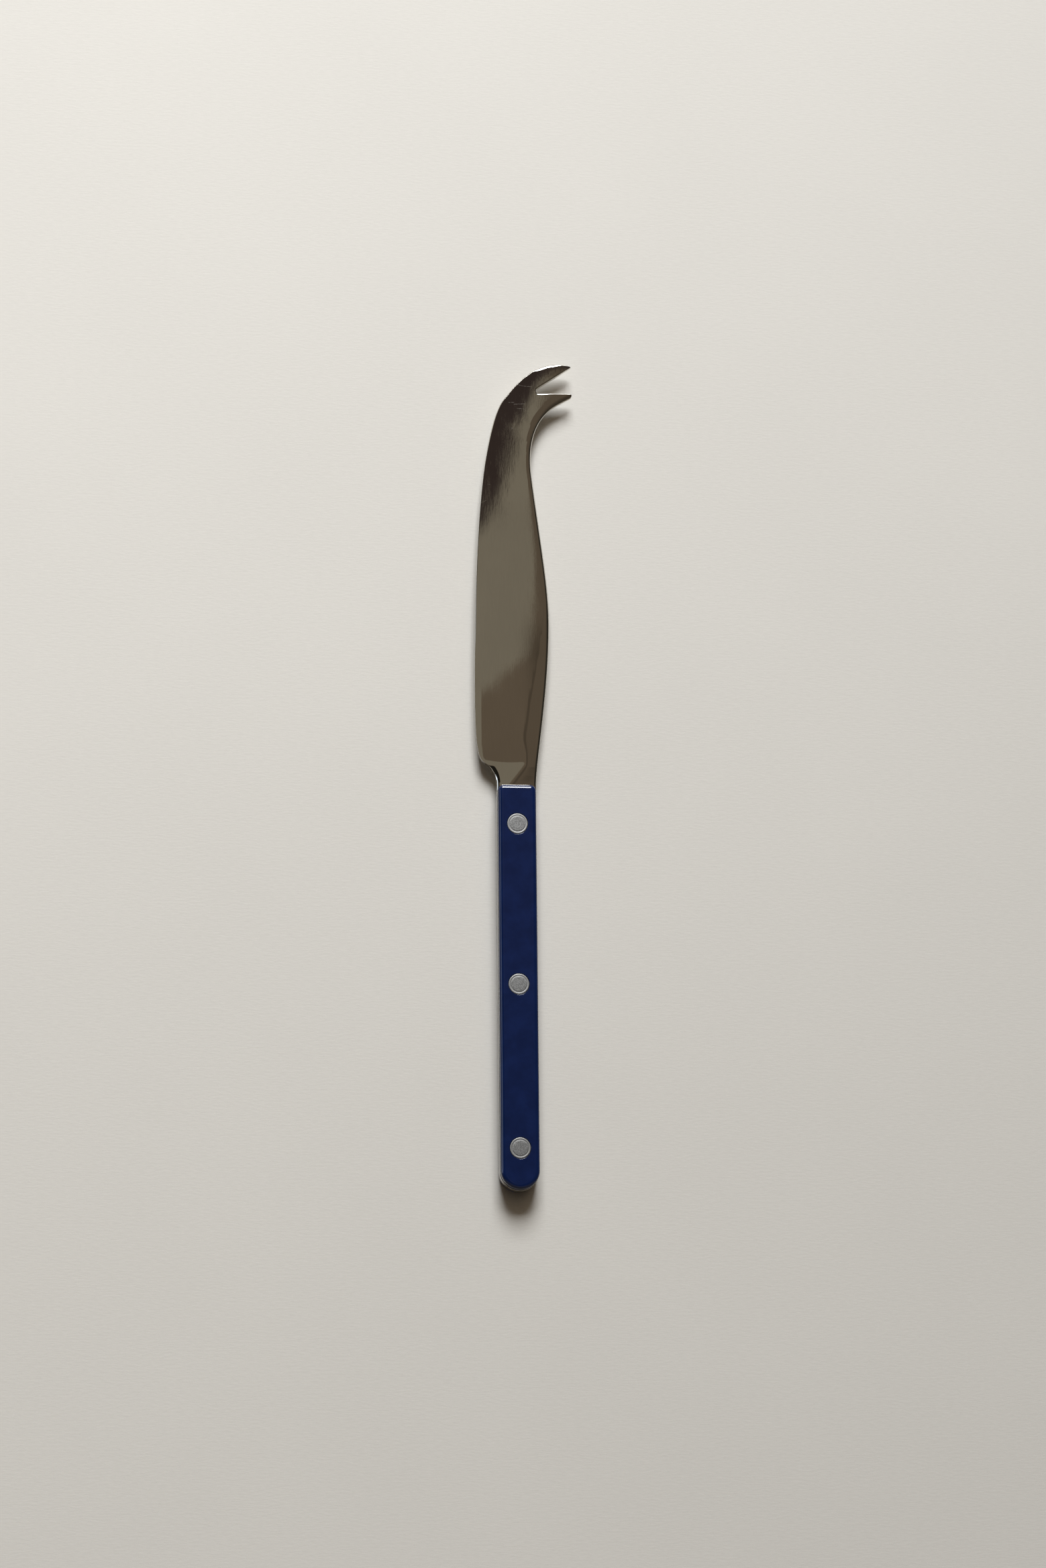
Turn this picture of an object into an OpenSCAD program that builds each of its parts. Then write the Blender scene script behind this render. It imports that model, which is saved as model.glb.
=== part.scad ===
// Cheese knife: a full-tang steel blade with a two-pronged fork tip, two handle scales and
// three two-part rivets. It lies flat on the back scale. +Y runs towards the tip, +X towards
// the spine and +Z out of the front face.

/* [Blade] */
// Length of the blade, from the front of the handle to the tip
blade_l = 126.3; // [110:0.1:150]
// Width of the blade, from the cutting edge to the spine, where it is widest
blade_w = 21.25; // [18:0.05:25]
// Length of the curved head, from the tip to where the spine starts to hollow
head_l = 34.8; // [30:0.1:42]
// Distance from the handle to the corner of the heel
choil_l = 8; // [6.5:0.1:10]
// How far the neck stands out beyond the tang on the spine side
neck_flare = 0.25; // [0:0.05:0.6]
// Thickness of the steel at the tips of the prongs
prong_t = 1.4; // [1:0.05:1.8]
// Thickness of the steel at the cutting edge
edge_t = 0.3; // [0.2:0.05:0.5]
// Width of the bevel ground along the cutting edge
bevel_w = 1.9; // [1:0.1:2.6]
// Thickness of the steel where the edge bevel meets the main face
bevel_t = 1.2; // [0.8:0.05:1.6]
// Width of the eased strip along the spine
ease_w = 1.4; // [0.8:0.1:2]
// Depth of the eased strip along the spine, on each face
ease_h = 0.22; // [0.1:0.02:0.3]

/* [Fork slot] */
// Depth of the slot, from the tip of the upper prong to the root
slot_l = 9.9; // [8:0.1:11]
// Angle between the inner edges of the two prongs, in degrees
slot_angle = 34.4; // [30:0.2:36]
// Radius at the root of the slot
slot_root_r = 0.8; // [0.6:0.05:1.1]

/* [Handle] */
// Length of the handle scales
handle_l = 113.6; // [95:0.1:130]
// Width of the handle scales
handle_w = 10.7; // [9.5:0.1:12.5]
// Thickness of each scale
scale_t = 2.9; // [2.4:0.1:4]
// Radius of the rounding along the outer edge of each scale
scale_edge_r = 1.0; // [0.4:0.1:1.4]
// Radius of the front corners of each scale, seen from above
front_corner_r = 1.6; // [1.5:0.1:3]

/* [Tang] */
// Thickness of the tang between the scales
tang_t = 2.4; // [2:0.1:3]
// How far the tang stands proud of the scales all round
tang_proud = 0.1; // [0:0.05:0.2]
// Length of the polished shoulder in front of the scales
shoulder_l = 0.85; // [0.4:0.05:1.2]
// Drop of the polished shoulder, on each face
shoulder_h = 0.28; // [0.1:0.02:0.4]

/* [Rivets] */
// Diameter of the rivet heads
rivet_d = 5.8; // [5:0.1:6.6]
// Thickness of the rivet heads
rivet_head_t = 1.15; // [0.9:0.05:1.4]
// Distance from each end of the handle to the nearest rivet
rivet_inset = 11.3; // [8:0.1:20]
// Outer diameter of the hollow stem
tube_d = 3.6; // [3.2:0.1:4.2]
// Diameter of the solid post
post_d = 2.2; // [1.8:0.1:2.6]
// Depth of each head below the face of its scale
rivet_sink = 0.05; // [0:0.01:0.1]
// Gap between a head and the wall of its seat
seat_clear = 0.06; // [0.03:0.01:0.1]
// Gap between a hollow stem and its holes
tube_clear = 0.08; // [0.05:0.01:0.15]
// Gap between a post and the bore of its stem
post_clear = 0.01; // [0:0.005:0.03]
// Width of the broken edge round each seat
seat_break = 0.15; // [0.05:0.05:0.3]
// Depth of the turned groove in each head
groove_h = 0.12; // [0.05:0.01:0.2]

/* [Hidden] */
RIVETS = 3;
$fn = 96;

// Overrun of every cut beyond the face that it opens
over = 1;
// Overrun of the ground faces beyond the outline on each side
side_over = 0.5;
// Play between the free end of a post or stem and what it points at
end_play = 0.3;
// Smallest half thickness left where an edge is rounded away
rim_half_t = 0.12;

// Straight steps in a short, a middling and a long curve of the outline, and round the butt
SHORT = 6;
MIDDLING = 10;
LONG = 14;
BUTT = 36;

tang_half_w = handle_w / 2 + tang_proud;
mid_z = tang_t / 2 + scale_t;
root_t = tang_t - 2 * shoulder_h;
body_l = blade_l - head_l;
edge_r = min(scale_edge_r, front_corner_r);

// The x of every outline point is a share of blade_w, counted from the handle's centreline.
// The y of a body point is a share of body_l from the handle, and the y of a head point is a
// share of head_l back from the tip. The y of a prong point is a share of head_l below the
// upper edge of the lower prong.
edge_x_share = -0.536;
edge_body_shares = [[-0.536, 0.295], [-0.536, 0.546], [-0.496, 0.852]];
edge_head_shares = [[-0.391, 0.931]];
curve_shares = [[-0.264, 0.38], [-0.139, 0.336], [-0.064, 0.274]];
crown_shares = [[0.176, 0.079], [0.413, 0], [0.602, 0]];
nose_shares = [[0.687, 0], [0.748, 0.006], [0.789, 0.018]];
upper_tip_shares = [[0.802, 0.0215], [0.802, 0.029], [0.789, 0.031]];
lower_tip_x_share = 0.811;
lower_tip_shares = [[0.815, 0.028], [0.782, 0.04]];
prong_back_shares = [[0.687, 0.073], [0.588, 0.104], [0.508, 0.145]];
hollow_shares = [[0.252, 0.546], [0.212, 0.775], [0.256, 1]];
spine_shares = [[0.381, 0.759], [0.464, 0.647], [0.464, 0.541]];
belly_share = [0.464, 0.317];
flare_shares = [0.013, 0.103];
// Neck and heel points: x as a share of the step from the tang to the cutting edge, y as a
// share of choil_l
neck_shares = [[0, 0], [0, 0.215], [-0.015, 0.516], [0.41, 0.794]];
heel_shares = [[0.75, 1.01], [1, 0.82]];
// Point that the cross-sections of the head fan out from
pivot_shares = [0.847, 0.871];

edge_x = edge_x_share * blade_w;
neck_step = -edge_x - tang_half_w;

function body_pt(s) = [s.x * blade_w, s.y * body_l];
function head_pt(s) = [s.x * blade_w, blade_l - s.y * head_l];
function neck_pt(s) = [-tang_half_w - s.x * neck_step, s.y * choil_l];

// A cubic curve through four control points, without its last point
function curve(a, b, c, d, n) = [for (i = [0:n - 1]) let (t = i / n, u = 1 - t)
    u * u * u * a + 3 * u * u * t * b + 3 * u * t * t * c + t * t * t * d];

// An arc round a centre, both ends included
function arc(c, r, from, to, n) = [for (i = [0:n]) let (a = from + (to - from) * i / n)
    c + r * [cos(a), sin(a)]];

// Cutting edge, from the handle to the tip of the upper prong
neck_end = neck_pt(neck_shares[3]);
edge_pts = [for (s = edge_body_shares) body_pt(s)];
edge_end = head_pt(edge_head_shares[0]);
curve_pts = [for (s = curve_shares) head_pt(s)];
crown_pts = [for (s = crown_shares) head_pt(s)];
nose_pts = [for (s = nose_shares) head_pt(s)];
outer_rail = concat(
    curve(neck_pt(neck_shares[0]), neck_pt(neck_shares[1]), neck_pt(neck_shares[2]), neck_end,
        MIDDLING),
    curve(neck_end, neck_pt(heel_shares[0]), neck_pt(heel_shares[1]), edge_pts[0], LONG),
    curve(edge_pts[0], edge_pts[1], edge_pts[2], edge_end, LONG),
    curve(edge_end, curve_pts[0], curve_pts[1], curve_pts[2], LONG),
    curve(curve_pts[2], crown_pts[0], crown_pts[1], crown_pts[2], LONG),
    curve(crown_pts[2], nose_pts[0], nose_pts[1], nose_pts[2], SHORT));

// Fork slot, from the tip of the upper prong round the root to the tip of the lower prong
upper_pts = [for (s = upper_tip_shares) head_pt(s)];
slot_run = slot_l - slot_root_r;
slot_c = upper_pts[2] - [slot_run, slot_run * tan(slot_angle) + slot_root_r / cos(slot_angle)];
lower_tip = [lower_tip_x_share * blade_w, slot_c.y - slot_root_r];
function prong_pt(s) = [s.x * blade_w, lower_tip.y - s.y * head_l];
lower_corner = [prong_pt(lower_tip_shares[0]).x, lower_tip.y];
slot_rail = concat(
    curve(nose_pts[2], upper_pts[0], upper_pts[1], upper_pts[2], SHORT),
    [upper_pts[2]],
    arc(slot_c, slot_root_r, 90 + slot_angle, 270, MIDDLING));

// Back of the head and spine, from the tip of the lower prong to the handle
prong_pts = [for (s = prong_back_shares) prong_pt(s)];
hollow_pts = [for (s = hollow_shares) head_pt(s)];
spine_pts = [for (s = spine_shares) body_pt(s)];
prong_end = prong_pt(lower_tip_shares[1]);
neck_root = [tang_half_w + neck_flare, 0];
neck_bend = [neck_root.x + flare_shares.x * blade_w, flare_shares.y * body_l];
tip_rail = curve(lower_tip, lower_corner, prong_pt(lower_tip_shares[0]), prong_end, SHORT);
inner_rail = concat(
    curve(prong_end, prong_pts[0], prong_pts[1], prong_pts[2], SHORT),
    curve(prong_pts[2], hollow_pts[0], hollow_pts[1], hollow_pts[2], LONG),
    curve(hollow_pts[2], spine_pts[0], spine_pts[1], spine_pts[2], LONG),
    curve(spine_pts[2], body_pt(belly_share), neck_bend, neck_root, LONG),
    [neck_root]);

// Outline of the whole piece of steel, the tang with its round butt included
tang_rail = concat(
    curve(neck_root, [neck_root.x, -front_corner_r / 2], [tang_half_w, -front_corner_r / 2],
        [tang_half_w, -front_corner_r], SHORT),
    arc([0, handle_w / 2 - handle_l], tang_half_w, 0, -180, BUTT));
outline = concat(outer_rail, slot_rail, tip_rail, inner_rail, tang_rail);

// Middle of the part's footprint, seen from the handle's front
mid_x = (min([for (p = outline) p.x]) + max([for (p = outline) p.x])) / 2;
mid_y = (blade_l - handle_l - tang_proud) / 2;

// Limits of the blade on a line across it: level lines up to the pivot, and above it rays
// that fan out from the pivot, with the angle counted from -X
pivot = head_pt(pivot_shares);
function ray_angle(p) = atan2(p.y - pivot.y, pivot.x - p.x);
function level_table(rail) = [for (p = rail) [p.y, p.x]];
function ray_table(rail) = [for (p = rail) [ray_angle(p), norm(p - pivot)]];
function backwards(list) = [for (i = [len(list) - 1:-1:0]) list[i]];
outer_level = level_table(outer_rail);
inner_level = level_table(backwards(inner_rail));
outer_ray = ray_table(outer_rail);
inner_ray = ray_table(backwards(inner_rail));

// Shares of the distance from the handle to the prongs at which the blade is cut across
level_shares = [0.016, 0.028, 0.04, 0.055, 0.07, 0.088, 0.11, 0.14, 0.18, 0.25, 0.35, 0.45, 0.55,
    0.66, 0.77, 0.88, 1];
ray_step = 7;
ray_end = 105;

// Across a section: shares of the bevel's width, then shares of the main face, then shares
// of the eased strip
bevel_steps_shares = [0.07, 0.2, 0.45, 1];
face_steps_shares = [0.33, 0.67];
ease_steps_shares = [0, 0.5];

// How far a section is ground: 0 at the full neck, 1 past the heel
function smooth(t) = let (u = max(0, min(1, t))) u * u * (3 - 2 * u);
ground_from_share = 0.05;
ground_to_share = 0.95;
function heel_ground(y) = smooth((y / choil_l - ground_from_share)
    / (ground_to_share - ground_from_share));
// The edge grows blunt again round the crown of the head
blunt_from = 35;
blunt_to = 85;
blunt_share = 0.75;
function crown_ground(a) = 1 - blunt_share * smooth((a - blunt_from) / (blunt_to - blunt_from));

// Half thickness of the steel at distance d from the cutting edge, on a section w wide, t
// thick at the spine and ground by the share k
convex_share = 0.2;
function round_half(d, t) = let (r = t / 2, e = max(0, r - d))
    max(rim_half_t, sqrt(max(0, r * r - e * e)));
function ground_half(d, w, t) = d <= bevel_w
    ? (edge_t + (bevel_t - edge_t) * max(0, d) / bevel_w) / 2
    : let (u = min(1, (d - bevel_w) / (w - ease_w - bevel_w)))
        (bevel_t + (t - bevel_t) * u * (1 + convex_share * (1 - u))) / 2;
function ease_drop(d, w) = let (e = max(0, min(1, 1 - (w - d) / ease_w))) ease_h * e * e;
function half_t(d, w, t, k) = (1 - k) * round_half(d, t) + k * ground_half(d, w, t)
    - ease_drop(d, w);

// Distances from the cutting edge at which a section w wide has its points, with one beyond
// each side and none on the outline itself
function steps(w) = concat([-side_over],
    [for (s = bevel_steps_shares) s * bevel_w],
    [for (s = face_steps_shares) bevel_w + s * (w - ease_w - bevel_w)],
    [for (s = ease_steps_shares) w - ease_w + s * ease_w],
    [w + side_over]);

// One half section: points along a line from a, running in the direction dir. Past the spine
// it goes on falling as steeply as the outer part of the eased strip.
ease_fall = (1 + ease_steps_shares[1]) * ease_h / ease_w;
function half_section(a, dir, w, t, k) = [for (d = steps(w)) let (e = max(0, min(w, d)))
    [a.x + d * dir.x, a.y + d * dir.y, half_t(e, w, t, k) - ease_fall * max(0, d - w)]];

// Thickness at the spine, falling evenly from the shoulder to the prongs
function spine_t(share) = root_t + (prong_t - root_t) * share;
head_share = pivot.y / blade_l;

function level_section(y) = let (x0 = lookup(y, outer_level), x1 = lookup(y, inner_level))
    half_section([x0, y], [1, 0], x1 - x0, spine_t(y / blade_l), heel_ground(y));
function ray_section(a) = let (r0 = lookup(a, outer_ray), r1 = lookup(a, inner_ray),
        dir = [cos(a), -sin(a)])
    half_section(pivot - r0 * dir, dir, r0 - r1,
        spine_t(head_share + (1 - head_share) * a / ray_end), crown_ground(a));

// The shoulder runs along the front edge of the scales, round their corners too
function corner_drop(x) = let (e = max(0, abs(x) - (handle_w / 2 - front_corner_r)))
    front_corner_r - sqrt(max(0, front_corner_r * front_corner_r - e * e));
shoulder_base = level_section(0);
shoulder_top = [for (p = shoulder_base) [p.x, -corner_drop(p.x), tang_t / 2]];
shoulder_foot = [for (p = shoulder_base) [p.x, shoulder_l - corner_drop(p.x), p.z]];
tang_end = [for (p = shoulder_base) [p.x, -handle_l - tang_proud - over, tang_t / 2]];

sections = concat([tang_end, shoulder_top, shoulder_foot],
    [for (s = level_shares) level_section(s * pivot.y)],
    [for (a = [ray_step:ray_step:ray_end]) ray_section(a)]);

// A closed solid through half sections and their mirror images below the middle plane
module loft(halves) {
    n = len(halves[0]);
    rings = [for (h = halves) concat(h, [for (i = [n - 1:-1:0]) [h[i].x, h[i].y, -h[i].z]])];
    m = 2 * n;
    last = m * (len(rings) - 1);
    sides = [for (j = [0:len(rings) - 2]) for (i = [0:m - 1])
        let (a = m * j + i, b = m * j + (i + 1) % m) each [[a, a + m, b], [b, a + m, b + m]]];
    caps = [for (i = [0:n - 2]) each [
        [i, i + 1, m - 1 - i], [i + 1, m - 2 - i, m - 1 - i],
        [last + i, last + m - 1 - i, last + i + 1],
        [last + i + 1, last + m - 1 - i, last + m - 2 - i]]];
    polyhedron([for (r = rings) each r], concat(sides, caps), convexity = 6);
}

// Rivet places along the handle
function rivet_y(i) = -rivet_inset - i * (handle_l - 2 * rivet_inset) / (RIVETS - 1);

// Moves a piece from the handle's own frame to the part's frame
module placed() {
    translate([-mid_x, -mid_y, mid_z]) children();
}

module at_rivets() {
    for (i = [0:RIVETS - 1]) translate([0, rivet_y(i), 0]) children();
}

module blade() {
    color([0.6, 0.58, 0.54]) placed() difference() {
        intersection() {
            translate([0, 0, -tang_t]) linear_extrude(2 * tang_t) polygon(outline);
            loft(sections);
        }
        at_rivets() translate([0, 0, -tang_t / 2 - over])
            cylinder(d = tube_d + 2 * tube_clear, h = tang_t + 2 * over);
    }
}

// Half of a scale's cross-section, from its middle out to an edge rounded at the top
module scale_edge(reach) {
    square([reach - edge_r, scale_t]);
    square([reach, scale_t - edge_r]);
    translate([reach - edge_r, scale_t - edge_r]) intersection() {
        circle(edge_r);
        square(edge_r);
    }
}

// The bare slab of a scale, lying on z = 0
module scale_slab() {
    straight_l = handle_l - handle_w / 2 - front_corner_r;
    corner_x = handle_w / 2 - front_corner_r;
    for (side = [0, 1]) mirror([side, 0, 0]) {
        translate([0, -front_corner_r, 0]) rotate([90, 0, 0])
            linear_extrude(straight_l) scale_edge(handle_w / 2);
        translate([corner_x, -front_corner_r, 0])
            rotate_extrude(angle = 90) scale_edge(front_corner_r);
    }
    translate([-corner_x, -front_corner_r, 0]) rotate([90, 0, 90])
        linear_extrude(2 * corner_x) scale_edge(front_corner_r);
    translate([0, handle_w / 2 - handle_l, 0]) rotate([0, 0, 180])
        rotate_extrude(angle = 180) scale_edge(handle_w / 2);
}

seat_d = rivet_d + 2 * seat_clear;
seat_z = scale_t - rivet_sink - rivet_head_t;

// The broken edge of a seat: a cone at 45 degrees that overruns the face by the edge's width
module seat_cone() {
    cone_h = 2 * seat_break;
    cylinder(d1 = seat_d, d2 = seat_d + 2 * cone_h, h = cone_h);
}

// A scale with its stepped rivet holes, lying on z = 0
module scale() {
    difference() {
        scale_slab();
        at_rivets() {
            translate([0, 0, -over]) cylinder(d = tube_d + 2 * tube_clear, h = scale_t + over);
            translate([0, 0, seat_z]) cylinder(d = seat_d, h = scale_t - seat_z + over);
            translate([0, 0, scale_t - seat_break]) seat_cone();
        }
    }
}

module front_scale() {
    color([0.075, 0.105, 0.24]) placed() translate([0, 0, tang_t / 2]) scale();
}

module back_scale() {
    color([0.075, 0.105, 0.24]) placed() mirror([0, 0, 1])
        translate([0, 0, tang_t / 2]) scale();
}

// Face of a head: shares of its radius at the rim's chamfer and at the turned groove
rim_share = 0.95;
groove_out_share = 0.86;
groove_mid_share = 0.78;
groove_in_share = 0.7;
rim_drop_share = 0.8;

// A round head standing on z = 0, with a chamfered rim and a shallow turned groove
module rivet_head() {
    r = rivet_d / 2;
    rotate_extrude() polygon([[0, 0], [r, 0],
        [r, rivet_head_t - groove_h * rim_drop_share], [r * rim_share, rivet_head_t],
        [r * groove_out_share, rivet_head_t], [r * groove_mid_share, rivet_head_t - groove_h],
        [r * groove_in_share, rivet_head_t], [0, rivet_head_t]]);
}

// Distance from the middle plane to the seat of a head
seat_mid_z = tang_t / 2 + seat_z;
tube_l = 2 * seat_mid_z - end_play;
post_l = tube_l - end_play;

// Front half of a rivet: a head and a solid post that points down
module rivet_post(i) {
    color([0.62, 0.61, 0.59]) placed() translate([0, rivet_y(i), seat_mid_z]) {
        rivet_head();
        translate([0, 0, -post_l]) cylinder(d = post_d, h = post_l + rivet_head_t / 2);
    }
}

// Back half of a rivet: a head and a hollow stem that points up
module rivet_tube(i) {
    color([0.62, 0.61, 0.59]) placed() mirror([0, 0, 1])
        translate([0, rivet_y(i), seat_mid_z]) difference() {
            union() {
                rivet_head();
                translate([0, 0, -tube_l]) cylinder(d = tube_d, h = tube_l + rivet_head_t / 2);
            }
            translate([0, 0, -tube_l - over])
                cylinder(d = post_d + 2 * post_clear, h = tube_l + over);
        }
}

blade();
front_scale();
back_scale();
for (i = [0:RIVETS - 1]) {
    rivet_post(i);
    rivet_tube(i);
}
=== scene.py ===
from collections import namedtuple
from math import cos, radians, sin, tan

import bpy
import numpy as np
from bpy.props import FloatProperty, FloatVectorProperty, IntProperty, PointerProperty
from mathutils import Matrix, Vector
from mathutils.geometry import delaunay_2d_cdt


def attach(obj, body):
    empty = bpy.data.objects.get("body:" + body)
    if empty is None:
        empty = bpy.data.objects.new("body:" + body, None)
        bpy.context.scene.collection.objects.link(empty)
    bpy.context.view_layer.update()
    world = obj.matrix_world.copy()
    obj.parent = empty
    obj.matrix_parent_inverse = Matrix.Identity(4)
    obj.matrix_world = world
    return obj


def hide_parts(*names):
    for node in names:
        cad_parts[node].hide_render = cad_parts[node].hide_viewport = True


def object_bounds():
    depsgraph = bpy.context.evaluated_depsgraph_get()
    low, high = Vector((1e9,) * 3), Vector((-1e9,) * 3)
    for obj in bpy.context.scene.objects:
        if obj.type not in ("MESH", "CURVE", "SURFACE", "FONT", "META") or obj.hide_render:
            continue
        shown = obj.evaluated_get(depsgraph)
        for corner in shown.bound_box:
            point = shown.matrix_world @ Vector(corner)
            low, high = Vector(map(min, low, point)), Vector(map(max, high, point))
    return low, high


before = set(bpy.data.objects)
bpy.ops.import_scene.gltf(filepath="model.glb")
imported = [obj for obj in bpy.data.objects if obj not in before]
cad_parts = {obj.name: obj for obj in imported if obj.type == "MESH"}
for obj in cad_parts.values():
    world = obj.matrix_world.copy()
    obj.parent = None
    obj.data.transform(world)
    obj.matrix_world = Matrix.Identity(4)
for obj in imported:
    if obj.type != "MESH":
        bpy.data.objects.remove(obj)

bl_info = {
    "name": "Cheese knife",
    "version": (1, 0, 0),
    "blender": (4, 5, 0),
    "location": "3D Viewport > Sidebar > Knife",
    "description": "Builds a riveted cheese knife with a forked tip on a pale table",
    "category": "Add Mesh",
}

MM = 0.001
CAD_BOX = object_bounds()
BODY = "root"


# sizes and colours

def length(name, description, default):
    """A size in metres."""
    return FloatProperty(name=name, description=description, default=default * MM,
                         unit="LENGTH", precision=5)


def colour(name, description, default):
    """A colour given as it looks on a screen, from 0 to 255."""
    linear = [((c / 255 + 0.055) / 1.055) ** 2.4 for c in default]
    return FloatVectorProperty(name=name, description=description, default=linear,
                               subtype="COLOR", size=3, min=0, max=1)


class KnifeSizes(bpy.types.PropertyGroup):
    """Sizes of the knife, the same as those of its solids."""
    blade_length: length("Blade length", "From the front of the handle to the tip", 126.3)
    blade_width: length("Blade width", "From the cutting edge to the spine", 21.25)
    head_length: length("Head length", "From the tip to the start of the hollow", 34.8)
    heel_height: length("Heel height", "From the handle to the corner of the heel", 8)
    neck_flare: length("Neck flare", "How far the neck stands out on the spine side", 0.25)
    prong_thickness: length("Prong thickness", "Steel at the tips of the prongs", 1.4)
    edge_thickness: length("Edge thickness", "Steel at the cutting edge", 0.3)
    bevel_width: length("Bevel width", "Strip ground along the cutting edge", 1.9)
    bevel_thickness: length("Bevel thickness", "Steel where the bevel ends", 1.2)
    ease_width: length("Eased width", "Eased strip along the spine", 1.4)
    ease_depth: length("Eased depth", "Depth of the eased strip", 0.22)
    slot_length: length("Slot length", "From the upper tip to the root of the slot", 9.9)
    slot_root: length("Slot root radius", "Radius at the root of the slot", 0.8)
    handle_length: length("Handle length", "Length of the scales", 113.6)
    handle_width: length("Handle width", "Width of the scales", 10.7)
    scale_thickness: length("Scale thickness", "Thickness of one scale", 2.9)
    edge_radius: length("Edge radius", "Rounding along the outer edge of a scale", 1.0)
    corner_radius: length("Corner radius", "Front corners of a scale", 1.6)
    tang_thickness: length("Tang thickness", "Steel between the scales", 2.4)
    tang_proud: length("Tang proud", "How far the tang stands out all round", 0.1)
    shoulder_height: length("Shoulder height", "Drop of the shoulder", 0.28)
    rivet_width: length("Rivet width", "Diameter of a rivet head", 5.8)
    rivet_head: length("Rivet head", "Thickness of a rivet head", 1.15)
    rivet_inset: length("Rivet inset", "From an end of the handle to its rivet", 11.3)
    rivet_sink: length("Rivet sink", "Depth of a head below the scale's face", 0.05)
    seat_gap: length("Seat gap", "Gap round a rivet head", 0.06)
    seat_break: length("Seat edge", "Broken edge round a seat", 0.15)
    groove_depth: length("Groove depth", "Turned groove in a rivet head", 0.12)
    stem_width: length("Stem width", "Outer diameter of a hollow stem", 3.6)
    stem_gap: length("Stem gap", "Gap round a hollow stem", 0.08)
    post_width: length("Post width", "Diameter of a solid post", 2.2)
    slot_angle: FloatProperty(name="Slot angle", description="Angle between the prongs",
                              default=radians(34.4), subtype="ANGLE")
    rivets: IntProperty(name="Rivets", description="Number of rivets along the handle",
                        default=3, min=2, max=5)


def in_mm(sizes):
    """The lengths of the knife in millimetres, by name."""
    return {name: getattr(sizes, name) / MM for name in KnifeSizes.__annotations__
            if name not in ("slot_angle", "rivets")}


class KnifeColours(bpy.types.PropertyGroup):
    """Colours of the knife and of the table that it lies on."""
    steel: colour("Steel", "Polished stainless steel of the blade", (205, 201, 193))
    rivet: colour("Rivet", "Matte steel of the rivet heads", (150, 149, 147))
    plastic: colour("Plastic", "Navy plastic of the scales", (13, 28, 66))
    table: colour("Table", "Paper that the knife lies on", (232, 229, 222))
    ceiling: colour("Ceiling", "Bright part of the ceiling", (134, 127, 113))
    plaster: colour("Plaster", "Dull part of the ceiling", (101, 90, 77))
    beam: colour("Beam", "Dark beam towards the window", (60, 51, 48))
    wall: colour("Wall", "Walls of the room", (70, 67, 60))


# shader helpers

class Wire:
    """An output socket of a node tree. Sums and products of wires add their Math nodes."""

    def __init__(self, tree, socket=None):
        self.tree = tree
        self.socket = socket

    def add(self, kind, settings=None, inputs=None, out=0):
        """Any other node: its type, its settings, which are set first, and its sockets."""
        node = self.tree.nodes.new(kind)
        for name, value in (settings or {}).items():
            setattr(node, name, value)
        for name, value in (inputs or {}).items():
            if isinstance(value, Wire):
                self.tree.links.new(value.socket, node.inputs[name])
            else:
                node.inputs[name].default_value = value
        return Wire(self.tree, node.outputs[out])

    def maths(self, operation, *others):
        """A Math node on this wire and the others."""
        values = dict(enumerate((self, *others)))
        return self.add("ShaderNodeMath", {"operation": operation}, values)

    def __add__(self, other):
        return self.maths("ADD", other)

    __radd__ = __add__

    def __sub__(self, other):
        return self.maths("SUBTRACT", other)

    def __rsub__(self, other):
        return self * -1 + other

    def __mul__(self, other):
        return self.maths("MULTIPLY", other)

    __rmul__ = __mul__

    def __abs__(self):
        return self.maths("ABSOLUTE")

    def step(self, low, high, start=0.0, end=1.0):
        """A smooth step from start, at low, to end, at high."""
        return self.add("ShaderNodeMapRange", {"interpolation_type": "SMOOTHSTEP"},
                        {0: self, 1: low, 2: high, 3: start, 4: end})

    def mix(self, first, second):
        """The first colour where this wire is 0, and the second where it is 1."""
        first, second = [(*c, 1) if isinstance(c, (tuple, list)) else c
                         for c in (first, second)]
        return self.add("ShaderNodeMix", {"data_type": "RGBA"},
                        {0: self, 6: first, 7: second}, out=2)

    def parts(self):
        """The x, y and z of a vector."""
        node = self.add("ShaderNodeSeparateXYZ", None, {0: self}).socket.node
        return [Wire(self.tree, o) for o in node.outputs]

    def noise(self, scale, detail=2.0, rough=0.5, stretch=(1, 1, 1)):
        """Noise on this vector, with more or less of it along each axis."""
        place = self.add("ShaderNodeVectorMath", {"operation": "MULTIPLY"},
                         {0: self, 1: stretch})
        return self.add("ShaderNodeTexNoise", None,
                        {"Vector": place, "Scale": scale, "Detail": detail,
                         "Roughness": rough})


def new_material(name):
    """A material with one Principled shader. Gives the material, a start wire for its tree
    and the shader's inputs."""
    material = bpy.data.materials.new(name)
    material.use_nodes = True
    tree = material.node_tree
    shader = tree.nodes["Principled BSDF"]
    return material, Wire(tree), shader.inputs


def feed(socket, wire):
    """Links a wire to a socket of the shader."""
    wire.tree.links.new(wire.socket, socket)


def shaded(tone, share):
    """A colour made darker, or lighter where the share is over 1."""
    return tuple(c * share for c in tone)


# the blade's plan

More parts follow.
